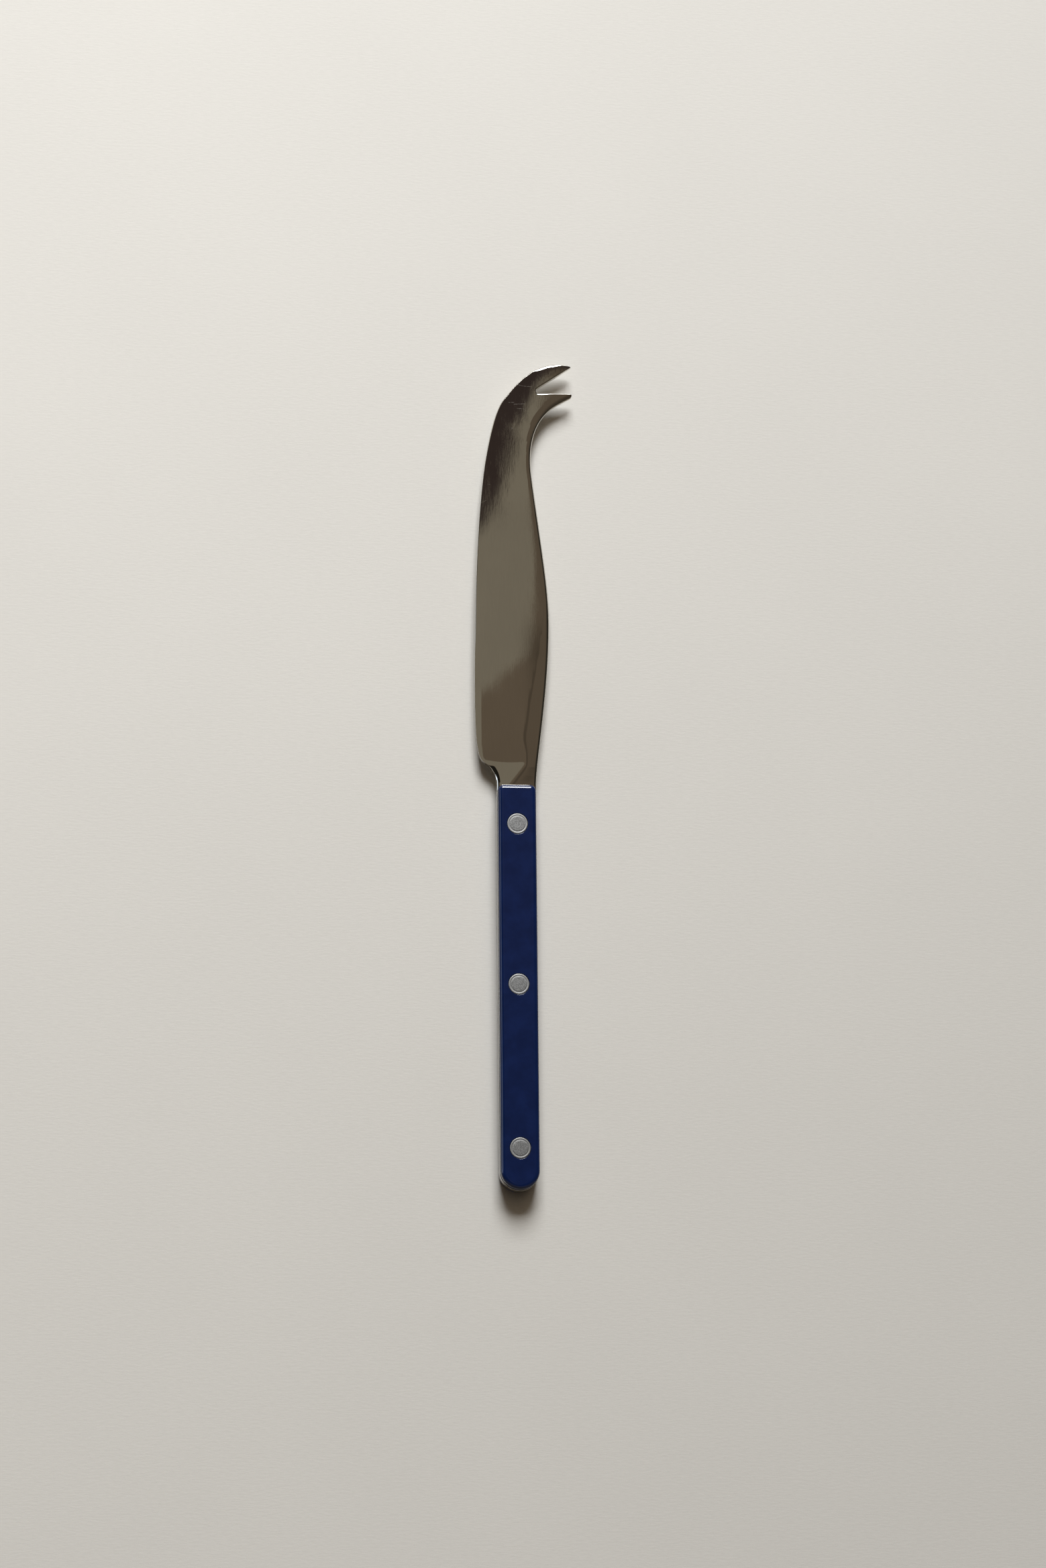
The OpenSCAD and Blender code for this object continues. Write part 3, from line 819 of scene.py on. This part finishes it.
def rivet_row_tree():
    """Geometry nodes that set one rivet at each place along the handle."""
    tree = bpy.data.node_groups.new("Rivet row", "GeometryNodeTree")
    face = tree.interface
    face.new_socket("Geometry", in_out="INPUT", socket_type="NodeSocketGeometry")
    for name, kind, default in (("Count", "NodeSocketInt", 3),
                                ("Pitch", "NodeSocketFloat", 0.0455),
                                ("First place", "NodeSocketVector", (0, 0, 0)),
                                ("Facing", "NodeSocketVector", (0, 0, 0)),
                                ("Seed", "NodeSocketInt", 1),
                                ("Material", "NodeSocketMaterial", None)):
        socket = face.new_socket(name, in_out="INPUT", socket_type=kind)
        if default is not None:
            socket.default_value = default
    face.new_socket("Geometry", in_out="OUTPUT", socket_type="NodeSocketGeometry")

    def node(kind, **settings):
        made = tree.nodes.new(kind)
        for name, value in settings.items():
            setattr(made, name, value)
        return made

    start, end = node("NodeGroupInput"), node("NodeGroupOutput")
    back = node("ShaderNodeMath", operation="MULTIPLY")
    back.inputs[1].default_value = -1
    step = node("ShaderNodeCombineXYZ")
    row = node("GeometryNodeMeshLine")
    turn = node("FunctionNodeRandomValue", data_type="FLOAT")
    turn.inputs[2].default_value = 0
    turn.inputs[3].default_value = 6.2832
    spin_z = node("ShaderNodeCombineXYZ")
    own = node("FunctionNodeEulerToRotation")
    facing = node("FunctionNodeEulerToRotation")
    both = node("FunctionNodeRotateRotation", rotation_space="LOCAL")
    put = node("GeometryNodeInstanceOnPoints")
    real = node("GeometryNodeRealizeInstances")
    coat = node("GeometryNodeSetMaterial")
    link = tree.links.new
    link(start.outputs["Pitch"], back.inputs[0])
    link(back.outputs[0], step.inputs["Y"])
    link(start.outputs["Count"], row.inputs["Count"])
    link(start.outputs["First place"], row.inputs["Start Location"])
    link(step.outputs[0], row.inputs["Offset"])
    link(start.outputs["Seed"], turn.inputs["Seed"])
    link(turn.outputs[1], spin_z.inputs["Z"])
    link(spin_z.outputs[0], own.inputs[0])
    link(start.outputs["Facing"], facing.inputs[0])
    link(facing.outputs[0], both.inputs[0])
    link(own.outputs[0], both.inputs[1])
    link(row.outputs["Mesh"], put.inputs["Points"])
    link(start.outputs["Geometry"], put.inputs["Instance"])
    link(both.outputs[0], put.inputs["Rotation"])
    link(put.outputs["Instances"], real.inputs["Geometry"])
    link(real.outputs["Geometry"], coat.inputs["Geometry"])
    link(start.outputs["Material"], coat.inputs["Material"])
    link(coat.outputs["Geometry"], end.inputs["Geometry"])
    return tree


def build_rivets(name, sizes, hollow, seed, material):
    """A row of rivet halves: solid posts at the front, or hollow stems at the back."""
    s = in_mm(sizes)
    mesh = spin(name, [(r * MM, z * MM) for r, z in rivet_profile(s, hollow)])
    piece = bpy.data.objects.new(name, mesh)
    bpy.context.scene.collection.objects.link(piece)
    tree = bpy.data.node_groups.get("Rivet row") or rivet_row_tree()
    modifier = piece.modifiers.new("Rivet row", "NODES")
    modifier.node_group = tree
    side = -1 if hollow else 1
    seat = side * (s["tang_thickness"] / 2 + s["scale_thickness"] - s["rivet_sink"]
                   - s["rivet_head"])
    places = rivet_places(sizes)
    first = to_part([[0, places[0], seat]], sizes)[0]
    values = {"Count": sizes.rivets, "Pitch": (places[0] - places[1]) * MM,
              "First place": tuple(first), "Facing": (0, np.pi if hollow else 0, 0),
              "Seed": seed, "Material": material}
    for item in tree.interface.items_tree:
        if item.in_out == "INPUT" and item.name in values:
            modifier[item.identifier] = values[item.name]
    bpy.context.view_layer.update()
    graph = bpy.context.evaluated_depsgraph_get()
    plain = bpy.data.meshes.new_from_object(piece.evaluated_get(graph))
    piece.modifiers.remove(modifier)
    piece.data = plain
    plain.name = name
    for polygon in plain.polygons:
        polygon.use_smooth = True
    plain.set_sharp_from_angle(angle=radians(40))
    return piece


# materials

# scratches on the blade: middle, length and direction of each, in millimetres and degrees in
# the part's frame, and how much it bends
SCRATCHES = ((0.53, 113.04, 5.31, -8, 0.0456), (-1.03, 107.55, 3.80, 4, 0),
              (-0.52, 106.12, 2.74, -2, 0), (-8.21, 102.53, 0.78, 2, 0),
              (-3.23, 100.16, 0.68, -7, 0), (-11.67, 77.64, 2.60, 27, 0),
              (-3.31, 107.98, 1.94, 2, 0), (-9.80, 82.93, 0.58, -8, 0),
              (-11.16, 9.93, 0.42, -27, 0), (-11.55, 8.85, 0.38, 1, 0))


def scratches(place):
    """1 on the scratches and 0 elsewhere."""
    x, y, _ = place.parts()
    marks = None
    for x0, y0, reach, turn, bend in SCRATCHES:
        c, s = cos(radians(turn)) / MM, sin(radians(turn)) / MM
        along = (x - x0 * MM) * c + (y - y0 * MM) * s
        aside = (y - y0 * MM) * c - (x - x0 * MM) * s - along * along * bend
        mark = abs(aside).step(0.08, 0.02) * abs(along).step(0.5 * reach, 0.35 * reach)
        marks = mark if marks is None else marks.maths("MAXIMUM", mark)
    return marks


def steel_material(colours):
    """Mirror-polished steel with fine lengthwise grinding lines and a few scratches."""
    material, start, shader = new_material("Polished steel")
    place = start.add("ShaderNodeTexCoord", out=3)
    streak = place.noise(1, 4, 0.75, (2600, 220, 2600))
    fine = place.noise(1, 3, 0.6, (6500, 600, 6500))
    hair = place.noise(1, 2, 0.5, (5200, 190, 5200)).step(0.6, 0.72)
    cloud = place.noise(60, 2)
    patchy = place.noise(1, 3, 0.6, (260, 90, 260)).step(0.35, 0.65, 0.3, 1.5)
    patchy = patchy * place.parts()[1].step(0.05, 0.078, 0.4, 1)
    worn_off = scratches(place) * place.noise(2500, 2).step(0.3, 0.5)
    steel = tuple(colours.steel)
    tone = (cloud * 0.6 + streak * 0.4).step(0.35, 0.65).mix(shaded(steel, 0.94), steel)
    feed(shader["Base Color"], tone)
    feed(shader["Roughness"], 0.008 + 0.014 * streak + 0.17 * worn_off)
    bump = start.add("ShaderNodeBump", None,
                     {"Height": (streak + fine * 0.25 + hair * 0.15) * patchy,
                      "Strength": 1.0, "Distance": 0.0000011})
    feed(shader["Normal"], bump)
    shader["Metallic"].default_value = 1
    return material


def plastic_material(colours):
    """Navy plastic with a soft gloss and a faint mottle."""
    material, start, shader = new_material("Navy plastic")
    place = start.add("ShaderNodeTexCoord", out=3)
    mottle = place.noise(220, 4, 0.6)
    grain = place.noise(2400, 3)
    navy = tuple(colours.plastic)
    feed(shader["Base Color"], mottle.step(0.3, 0.75).mix(navy, shaded(navy, 1.35)))
    feed(shader["Roughness"], 0.08 + 0.06 * mottle)
    feed(shader["Normal"], start.add("ShaderNodeBump", None,
         {"Height": grain, "Strength": 0.006, "Distance": 0.0001}))
    return material


def rivet_material(colours):
    """Matte steel, finely pitted, with a rim that is turned smoother."""
    material, start, shader = new_material("Rivet steel")
    place = start.add("ShaderNodeTexCoord", out=3)
    rim = start.add("ShaderNodeAttribute", {"attribute_name": "rim"}, out=2)
    pits = place.noise(2600, 5, 0.75)
    steel = tuple(colours.rivet)
    disc = pits.step(0.4, 0.6).mix(shaded(steel, 0.6), steel)
    feed(shader["Base Color"], rim.mix(disc, shaded(steel, 1.1)))
    feed(shader["Roughness"], 0.42 + 0.2 * pits - 0.04 * rim)
    feed(shader["Normal"], start.add("ShaderNodeBump", None,
         {"Height": pits * (1.15 - rim), "Strength": 0.5, "Distance": 0.00005}))
    shader["Metallic"].default_value = 1
    return material


def table_material(colours):
    """Pale paper with a fine grain that runs across the knife. Its colour also carries painted
    light falloff: it is darker towards +x and towards the butt.
    """
    material, start, shader = new_material("Pale paper")
    place = start.add("ShaderNodeTexCoord", out=3)
    grain = place.noise(1, 4, 0.7, (420, 1900, 1))
    cloud = place.noise(16, 3)
    paper = tuple(colours.table)
    x, y, _ = place.parts()
    mottle = (grain * 0.7 + cloud * 0.3).step(0.3, 0.7).mix(shaded(paper, 0.955), paper)
    # painted light falloff: the paper's colour is made darker towards +x and towards -y, where
    # less light falls
    painted_falloff = x.step(-0.25, 0.25, 1, 0.85) * y.step(-0.2, 0.12, 0.96, 1)
    feed(shader["Base Color"], start.add("ShaderNodeVectorMath", {"operation": "SCALE"},
                                         {0: mottle, "Scale": painted_falloff}))
    feed(shader["Normal"], start.add("ShaderNodeBump", None,
         {"Height": grain, "Strength": 0.12, "Distance": 0.0003}))
    shader["Roughness"].default_value = 0.7
    return material


# the room's bright places, as light: the window at the left, the wall beside it, the glow low
# beyond the tip, what fills the shadows and what the camera sees
SIDE_WINDOW = (1.7, 1.95, 2.3)
SIDE_WALL = (0.9, 0.88, 0.8)
GLOW = (0.8, 0.78, 0.74)
FILL = (0.05, 0.039, 0.028)
BACKDROP = (0.72, 0.71, 0.68)


def room_world(colours):
    """The room above the table, as what each direction shows to polished steel: a bright
    ceiling with a dull part and a dark beam, dark walls and a window at the left. The camera
    sees a pale backdrop instead, and the table gets a weak fill."""
    world = bpy.data.worlds.new("Room")
    world.use_nodes = True
    tree = world.node_tree
    start = Wire(tree)
    x, y, z = start.add("ShaderNodeTexCoord", out=0).parts()
    bright, dull = tuple(colours.ceiling), tuple(colours.plaster)
    dark, wall = tuple(colours.beam), tuple(colours.wall)
    # the dull part's edge runs flat, then turns up
    flat, steep = 0.547 * x - y + 0.237, 0.3 * (3.43 * x - y + 0.005)
    plaster = flat.maths("MAXIMUM", steep).step(-0.0014, 0.0014)
    tone = plaster.mix(bright, x.step(0.07, 0.1).mix(shaded(dull, 1.15), dull))
    # the beam's lower edge bends up where the face of the head starts to curve
    above = y - 0.338
    edge = 0.075 + 0.6 * above.maths("MINIMUM", 0.0) \
        + 1.7 * (above - 0.006).maths("MAXIMUM", 0.0) \
        + 5.5 * (above - 0.016).maths("MAXIMUM", 0.0)
    reach = x.step(0.04, -0.5, 0.311, 0.345)
    beam = (x - edge).step(0.0045, -0.0045) * (y - reach).step(-0.004, 0.004)
    tone = beam.mix(tone, dark)
    # a seam in the dull part, and the darker places under and beside it
    seam = abs(x - 0.092).step(0.02, 0.005) * y.step(0.29, 0.28)
    tone = seam.mix(tone, shaded(dull, 0.72))
    tone = y.step(0.24, 0.14).mix(tone, shaded(dull, 0.5))
    tone = y.step(0.1, -0.1).mix(tone, shaded(dull, 0.12))
    tone = x.step(0.25, 0.6).mix(tone, shaded(wall, 0.55))
    shade = x.step(-0.42, -0.5).maths("MAXIMUM", x.step(-0.15, -0.23) * y.step(0.27, 0.25))
    tone = shade.mix(tone, shaded(wall, 0.25))
    # the ceiling is bright again straight overhead and beyond the handle
    over = (x * x + y * y).step(0.013, 0.004).maths("MAXIMUM", y.step(-0.3, -0.55))
    tone = over.mix(tone, bright)
    glow = abs(x).step(0.45, 0.3) * y.step(0.78, 0.88)
    tone = glow.mix(tone, GLOW)
    # the window at the left is seen in the neck, and higher up along the handle
    left = x.step(-0.3, -0.5)
    low = z.step(0.56, 0.5)
    pane = low * y.step(-0.14, 0.06) * y.step(0.16, 0.1)
    high_pane = z.step(0.66, 0.62) * z.step(0.42, 0.48) * y.step(0.05, 0.12) * y.step(0.34, 0.28)
    tone = (left * pane.maths("MAXIMUM", high_pane)).mix(tone, SIDE_WINDOW)
    tone = (left * low * y.step(0.46, 0.54)).mix(tone, SIDE_WALL)
    tone = start.add("ShaderNodeLightPath", out=3).mix(FILL, tone)
    tone = start.add("ShaderNodeLightPath", out=0).mix(tone, BACKDROP)
    feed(tree.nodes["Background"].inputs["Color"], tone)
    return world


# lamps and camera

# half the side of the paper, in metres
PAPER_HALF = 4
# name, width, height, watts, colour, direction from the knife and distance of each lamp
LAMPS = (("window", 0.94, 1.06, 64, (0.95, 0.975, 1),
          (-0.01, cos(radians(42)), sin(radians(42))), 2.3),
         ("bounce", 3.0, 3.0, 12, (1, 0.8, 0.6), (0.12, 0.8, 1), 2.5))
# the camera's distance in metres, its angles in degrees, its lens and sensor in millimetres
# and the place that it looks at, in millimetres in the part's frame
CAMERA_DISTANCE = 1.0079
CAMERA_TILT = 14
CAMERA_SIDE = 6
CAMERA_ROLL = -0.541
CAMERA_LENS = 82.34
CAMERA_SENSOR = 36
CAMERA_AIM = (-0.884, -5.21, 4.1)


def lay_paper(colours):
    """The sheet of paper that the knife lies on."""
    half = PAPER_HALF
    mesh = bpy.data.meshes.new("paper")
    mesh.from_pydata([(-half, -half, 0), (half, -half, 0), (half, half, 0), (-half, half, 0)],
                     [], [(0, 1, 2, 3)])
    mesh.materials.append(table_material(colours))
    paper = bpy.data.objects.new("paper", mesh)
    bpy.context.scene.collection.objects.link(paper)
    return paper


def hang_lamp(name, width, height, watts, shade, towards, distance):
    """A rectangular lamp that shines on the knife. Only the window shows in the steel."""
    light = bpy.data.lights.new(name, "AREA")
    light.shape = "RECTANGLE"
    light.size = width
    light.size_y = height
    light.energy = watts
    light.color = shade
    lamp = bpy.data.objects.new(name, light)
    bpy.context.scene.collection.objects.link(lamp)
    away = Vector(towards).normalized()
    lamp.location = away * distance
    lamp.rotation_euler = away.to_track_quat("Z", "Y").to_euler()
    lamp.visible_camera = False
    lamp.visible_glossy = name == "window"


def set_camera(scene):
    """The camera, high over the knife, a little towards its butt and to its left."""
    camera = bpy.data.cameras.new("camera")
    camera.sensor_fit = "VERTICAL"
    camera.sensor_height = CAMERA_SENSOR
    camera.lens = CAMERA_LENS
    camera.clip_start = 0.05
    eye = bpy.data.objects.new("camera", camera)
    scene.collection.objects.link(eye)
    back = Vector((-tan(radians(CAMERA_SIDE)), -tan(radians(CAMERA_TILT)), 1)).normalized()
    right = Vector((0, 1, 0)).cross(back).normalized()
    up = back.cross(right)
    roll = radians(CAMERA_ROLL)
    right, up = cos(roll) * right + sin(roll) * up, cos(roll) * up - sin(roll) * right
    turn = Matrix((right, up, back)).transposed().to_4x4()
    place = Vector(CAMERA_AIM) * MM + back * CAMERA_DISTANCE
    eye.matrix_world = Matrix.Translation(place) @ turn
    scene.camera = eye


# operators

class KnifeOperator:
    """What every operator here has in common."""
    bl_options = {"REGISTER", "UNDO"}


class KNIFE_OT_steel(KnifeOperator, bpy.types.Operator):
    """Build the blade, the neck and the tang as one piece of polished steel"""
    bl_idname = "knife.steel"
    bl_label = "Blade and tang"

    def execute(self, context):
        piece = build_steel(context.scene.knife_sizes)
        piece.data.materials.append(steel_material(context.scene.knife_colours))
        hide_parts("blade")
        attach(piece, BODY)
        return {"FINISHED"}


class KNIFE_OT_scales(KnifeOperator, bpy.types.Operator):
    """Build the two plastic scales of the handle"""
    bl_idname = "knife.scales"
    bl_label = "Handle scales"

    def execute(self, context):
        material = plastic_material(context.scene.knife_colours)
        for name, node, side in (("navy_front_scale", "front_scale", 1),
                                 ("navy_back_scale", "back_scale", -1)):
            piece = build_scale(name, context.scene.knife_sizes, side)
            piece.data.materials.append(material)
            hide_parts(node)
            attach(piece, BODY)
        return {"FINISHED"}


class KNIFE_OT_rivets(KnifeOperator, bpy.types.Operator):
    """Set the rivets along both faces of the handle"""
    bl_idname = "knife.rivets"
    bl_label = "Rivets"

    def execute(self, context):
        material = rivet_material(context.scene.knife_colours)
        sizes = context.scene.knife_sizes
        for name, node, hollow, seed in (("rivet_posts", "rivet_post_", False, 3),
                                         ("rivet_tubes", "rivet_tube_", True, 8)):
            piece = build_rivets(name, sizes, hollow, seed, material)
            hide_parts(*[node + str(i + 1) for i in range(sizes.rivets)])
            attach(piece, BODY)
        return {"FINISHED"}


class KNIFE_OT_stage(KnifeOperator, bpy.types.Operator):
    """Lay the paper, light it from a window and set the camera"""
    bl_idname = "knife.stage"
    bl_label = "Table, light and camera"

    def execute(self, context):
        scene = context.scene
        lay_paper(scene.knife_colours)
        for lamp in LAMPS:
            hang_lamp(*lamp)
        scene.world = room_world(scene.knife_colours)
        set_camera(scene)
        scene.view_settings.view_transform = "Standard"
        return {"FINISHED"}


class KNIFE_PT_panel(bpy.types.Panel):
    """Sizes, colours and pieces of the knife"""
    bl_idname = "KNIFE_PT_panel"
    bl_label = "Cheese knife"
    bl_space_type = "VIEW_3D"
    bl_region_type = "UI"
    bl_category = "Knife"

    def draw(self, context):
        for group in (context.scene.knife_sizes, context.scene.knife_colours):
            column = self.layout.column(align=True)
            for name in type(group).__annotations__:
                column.prop(group, name)
        for operator in (KNIFE_OT_stage, KNIFE_OT_steel, KNIFE_OT_scales, KNIFE_OT_rivets):
            self.layout.operator(operator.bl_idname)


CLASSES = (KnifeSizes, KnifeColours, KNIFE_OT_stage, KNIFE_OT_steel, KNIFE_OT_scales,
           KNIFE_OT_rivets, KNIFE_PT_panel)


def register():
    for item in CLASSES:
        bpy.utils.register_class(item)
    bpy.types.Scene.knife_sizes = PointerProperty(type=KnifeSizes)
    bpy.types.Scene.knife_colours = PointerProperty(type=KnifeColours)


def unregister():
    del bpy.types.Scene.knife_colours
    del bpy.types.Scene.knife_sizes
    for item in reversed(CLASSES):
        bpy.utils.unregister_class(item)


def main():
    register()
    bpy.ops.knife.stage()
    bpy.ops.knife.steel()
    bpy.ops.knife.scales()
    bpy.ops.knife.rivets()


if __name__ == "__main__":
    main()
